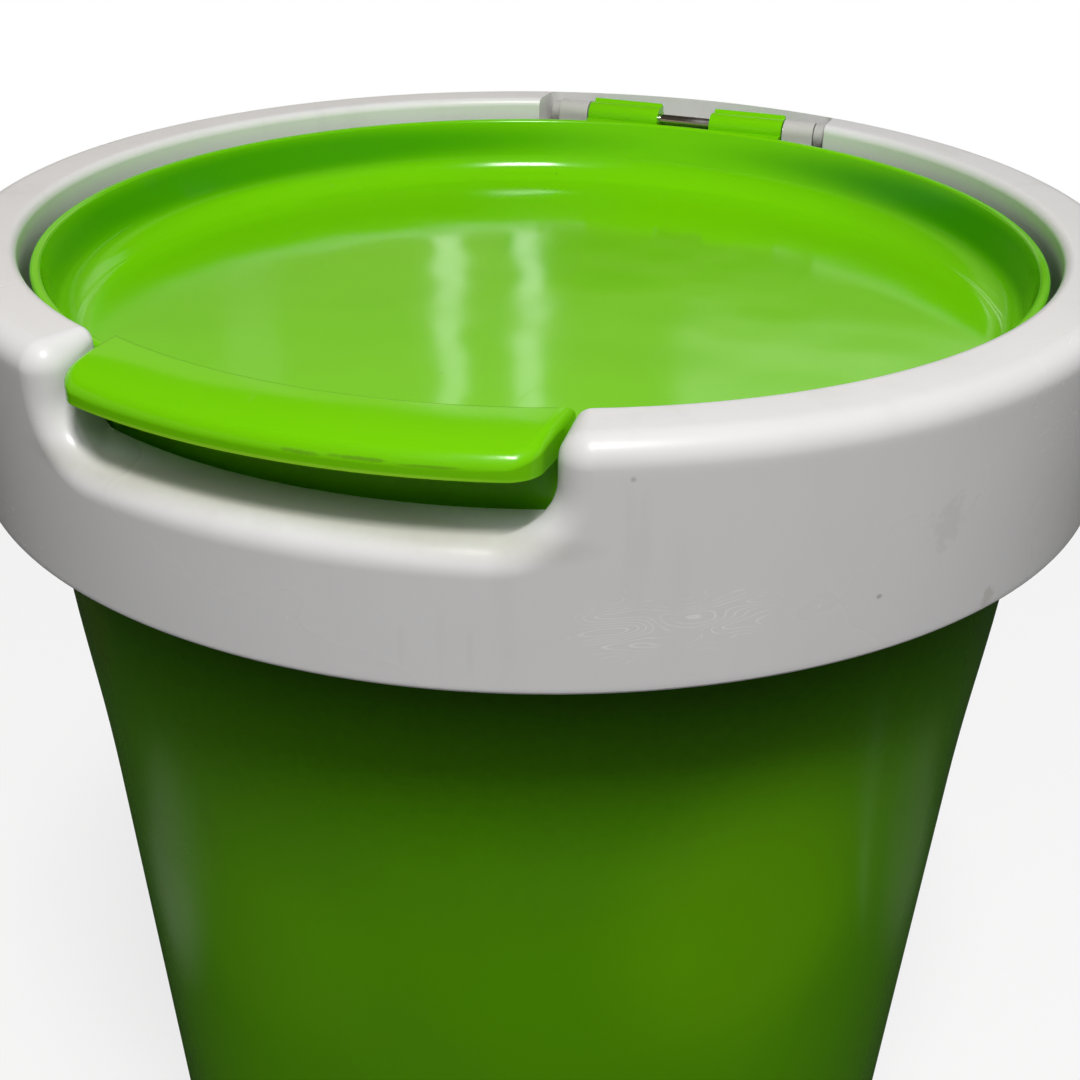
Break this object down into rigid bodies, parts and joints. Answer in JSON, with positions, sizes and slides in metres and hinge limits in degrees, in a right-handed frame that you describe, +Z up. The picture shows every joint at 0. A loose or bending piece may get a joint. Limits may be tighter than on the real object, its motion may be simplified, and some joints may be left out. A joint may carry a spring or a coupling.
{
  "type": "lidded pail",
  "caption": "Round lidded pail: tapered green tub, deep pale collar that lifts off its rim, and a dished green lid with a finger tab, hinged at the back.",
  "frame": {"origin": "on the floor, under the middle of the tub", "axes": "+Z up, the finger tab and its notch at -Y, the lid's hinge at +Y"},
  "size_m": [0.3026, 0.302, 0.356],
  "materials": {
    "tub_green": "glossy moulded polypropylene, leaf green",
    "lid_green": "glossy moulded polypropylene, lime green",
    "collar_white": "glossy moulded polypropylene, warm pale grey, lightly soiled",
    "inner_white": "satin moulded polypropylene, pale grey",
    "seal_rubber": "soft grey thermoplastic rubber",
    "foot_rubber": "dark thermoplastic rubber",
    "screw_steel": "zinc plated steel",
    "pin_steel": "drawn stainless steel",
    "cap_plastic": "satin moulded nylon, pale grey"
  },
  "bodies": {
    "tub": {"tub": "tub_green", "foot_pads": "foot_rubber"},
    "collar": {"collar_cover": "collar_white", "seat_ring": "inner_white", "collar_screws": "screw_steel", "lid_seal": "seal_rubber", "hinge_block": "inner_white", "hinge_screws": "screw_steel", "hinge_pin": "pin_steel", "pin_caps": "cap_plastic"},
    "lid": {"lid": "lid_green"}
  },
  "joints": [
    {"name": "collar_lift", "type": "slide", "parent": "tub", "child": "collar", "axis": [0, 0, 1], "range_m": [0, 0.06]},
    {"name": "lid_hinge", "type": "hinge", "parent": "collar", "child": "lid", "pos_m": [0, 0.135, 0.3505], "axis": [-1, 0, 0], "range_deg": [0, 100]}
  ]
}
